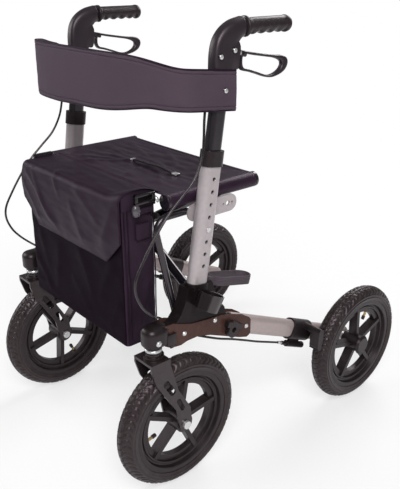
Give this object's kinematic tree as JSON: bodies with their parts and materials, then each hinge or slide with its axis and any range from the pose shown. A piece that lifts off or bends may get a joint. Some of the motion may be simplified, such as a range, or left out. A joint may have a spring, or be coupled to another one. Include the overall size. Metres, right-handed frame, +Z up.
{
  "type": "all terrain rollator",
  "caption": "Folding four-wheeled walking frame with large air tyres, seat, back band, bag, stick holder and hand brakes; its cross folds and its handles slide up.",
  "frame": {"origin": "on the floor, midway between the left and right wheels and between the front and rear tyres", "axes": "+X towards the left side of the person who walks behind it, -Y towards the front, +Z up"},
  "size_m": [0.655, 0.8378, 0.955],
  "materials": {
    "silver_tube": "satin",
    "black_tube": "gloss",
    "black_metal": "satin",
    "black_plastic": "matte",
    "brown_plate": "satin",
    "steel": "brushed",
    "cable_jacket": "gloss",
    "grip_rubber": "matte",
    "rim_plastic": "satin",
    "tyre_rubber": "matte",
    "seat_nylon": "woven",
    "bag_nylon": "woven",
    "band_fabric": "woven",
    "webbing": "ribbed",
    "buckle_plastic": "gloss"
  },
  "bodies": {
    "left_frame": {"left_post": "silver_tube", "left_collar": "black_plastic", "left_rail": "silver_tube", "left_rail_plates": "brown_plate", "left_housing": "black_plastic", "left_caster_head": "black_plastic", "left_frame_fasteners": "steel", "left_seat_bracket": "silver_tube", "left_bag_stay": "black_tube", "left_brake_carrier": "black_plastic", "left_cable_guide": "black_plastic", "left_brake_cable": "cable_jacket", "bag": "bag_nylon", "bag_flap": "bag_nylon", "bag_buckles": "buckle_plastic", "stick_loop": "webbing", "stick_cup": "black_plastic"},
    "brace_b": {"brace_b": "black_tube", "right_seat_rail": "black_tube"},
    "brace_a": {"brace_a": "black_tube", "left_seat_rail": "black_tube", "seat_cloth": "seat_nylon", "seat_strap": "webbing"},
    "right_frame": {"right_post": "silver_tube", "right_collar": "black_plastic", "right_rail": "silver_tube", "right_rail_plates": "brown_plate", "right_housing": "black_plastic", "right_caster_head": "black_plastic", "right_frame_fasteners": "steel", "right_seat_bracket": "silver_tube", "right_bag_stay": "black_tube", "right_brake_carrier": "black_plastic", "right_cable_guide": "black_plastic", "right_brake_cable": "cable_jacket"},
    "left_handle": {"left_handle_tube": "black_tube", "left_grip": "grip_rubber", "left_lever_bracket": "black_plastic", "left_handle_fasteners": "steel", "backrest_band": "band_fabric"},
    "right_handle": {"right_handle_tube": "black_tube", "right_grip": "grip_rubber", "right_lever_bracket": "black_plastic", "right_handle_fasteners": "steel"},
    "left_lever": {"left_brake_lever": "black_plastic"},
    "left_brake": {"left_brake_arm": "black_plastic"},
    "left_fork": {"left_fork": "black_metal", "left_fork_fasteners": "steel"},
    "left_front_wheel": {"left_front_rim": "rim_plastic", "left_front_tyre": "tyre_rubber"},
    "left_rear_wheel": {"left_rear_rim": "rim_plastic", "left_rear_tyre": "tyre_rubber"},
    "right_lever": {"right_brake_lever": "black_plastic"},
    "right_brake": {"right_brake_arm": "black_plastic"},
    "right_fork": {"right_fork": "black_metal", "right_fork_fasteners": "steel"},
    "right_front_wheel": {"right_front_rim": "rim_plastic", "right_front_tyre": "tyre_rubber"},
    "right_rear_wheel": {"right_rear_rim": "rim_plastic", "right_rear_tyre": "tyre_rubber"}
  },
  "joints": [
    {"name": "fold", "type": "hinge", "parent": "left_frame", "child": "brace_b", "pos_m": [0.2, -0.184, 0.379], "axis": [0, 1, 0], "range_deg": [0, 45], "deforming": ["seat_cloth", "seat_strap", "backrest_band", "bag", "bag_flap", "bag_buckles"]},
    {"name": "fold_cross", "type": "hinge", "parent": "brace_b", "child": "brace_a", "pos_m": [0, -0.184, 0.493], "axis": [0, 1, 0], "range_deg": [-90, 0]},
    {"name": "fold_right", "type": "hinge", "parent": "brace_a", "child": "right_frame", "pos_m": [-0.2, -0.184, 0.379], "axis": [0, 1, 0], "range_deg": [0, 45]},
    {"name": "left_height", "type": "slide", "parent": "left_frame", "child": "left_handle", "axis": [0, 0.1521, 0.9884], "range_m": [-0.05, 0.1], "deforming": ["left_brake_cable"]},
    {"name": "right_height", "type": "slide", "parent": "right_frame", "child": "right_handle", "axis": [0, 0.1521, 0.9884], "range_m": [-0.05, 0.1], "deforming": ["right_brake_cable"]},
    {"name": "left_lever", "type": "hinge", "parent": "left_handle", "child": "left_lever", "pos_m": [0.246, -0.11723, 0.89052], "axis": [1, 0, 0], "range_deg": [0, 12], "stiffness_Nm_per_rad": 2, "springref_deg": -5.73},
    {"name": "right_lever", "type": "hinge", "parent": "right_handle", "child": "right_lever", "pos_m": [-0.246, -0.11723, 0.89052], "axis": [1, 0, 0], "range_deg": [0, 12], "stiffness_Nm_per_rad": 2, "springref_deg": -5.73},
    {"name": "left_brake", "type": "hinge", "parent": "left_frame", "child": "left_brake", "pos_m": [0.297, 0.11942, 0.23461], "axis": [1, 0, 0], "range_deg": [0, 3]},
    {"name": "right_brake", "type": "hinge", "parent": "right_frame", "child": "right_brake", "pos_m": [-0.297, 0.11942, 0.23461], "axis": [1, 0, 0], "range_deg": [0, 3]},
    {"name": "left_swivel", "type": "hinge", "parent": "left_frame", "child": "left_fork", "pos_m": [0.246, -0.326, 0.35], "axis": [0, 0, 1], "continuous": true},
    {"name": "right_swivel", "type": "hinge", "parent": "right_frame", "child": "right_fork", "pos_m": [-0.246, -0.326, 0.35], "axis": [0, 0, 1], "continuous": true},
    {"name": "left_front_spin", "type": "hinge", "parent": "left_fork", "child": "left_front_wheel", "pos_m": [0.246, -0.269, 0.15], "axis": [1, 0, 0], "continuous": true},
    {"name": "left_rear_spin", "type": "hinge", "parent": "left_frame", "child": "left_rear_wheel", "pos_m": [0.297, 0.269, 0.15], "axis": [1, 0, 0], "continuous": true},
    {"name": "right_front_spin", "type": "hinge", "parent": "right_fork", "child": "right_front_wheel", "pos_m": [-0.246, -0.269, 0.15], "axis": [1, 0, 0], "continuous": true},
    {"name": "right_rear_spin", "type": "hinge", "parent": "right_frame", "child": "right_rear_wheel", "pos_m": [-0.297, 0.269, 0.15], "axis": [1, 0, 0], "continuous": true}
  ],
  "couplings": [
    {"joint": "fold_cross", "follows": "fold", "ratio": -2},
    {"joint": "fold_right", "follows": "fold", "ratio": 1},
    {"joint": "right_height", "follows": "left_height", "ratio": 1},
    {"joint": "left_brake", "follows": "left_lever", "ratio": 0.25},
    {"joint": "right_brake", "follows": "right_lever", "ratio": 0.25}
  ]
}
